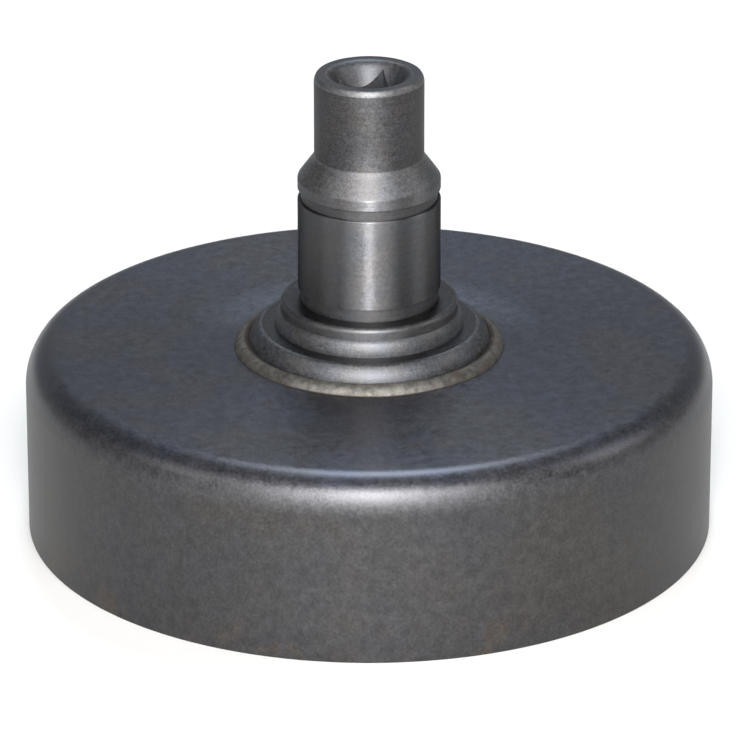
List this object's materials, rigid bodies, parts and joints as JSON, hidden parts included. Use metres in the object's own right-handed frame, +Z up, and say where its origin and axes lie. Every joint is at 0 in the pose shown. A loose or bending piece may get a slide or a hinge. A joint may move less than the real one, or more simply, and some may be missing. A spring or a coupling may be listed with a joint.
{
  "type": "clutch drum",
  "caption": "Drawn steel clutch drum, open side down, with a stepped hub brazed upright on it: bearing seat, retaining ring groove and square drive socket.",
  "frame": {"origin": "centre of the drum's open rim, on the surface it stands on", "axes": "+Z up the hub's axis, from the open rim towards the drive socket; X and Y square to the socket's flats"},
  "size_m": [0.0726, 0.0726, 0.0502],
  "materials": {
    "drum_steel": "dark drawn steel, heat-tinted and lightly oiled, mottled",
    "hub_steel": "turned steel, bright on the seat and darker on the nose and flange",
    "braze_metal": "rough brazing bead, mottled beige and brown"
  },
  "bodies": {
    "root": {"drum_cup": "drum_steel", "hub_shaft": "hub_steel", "braze_ring": "braze_metal"}
  },
  "joints": []
}
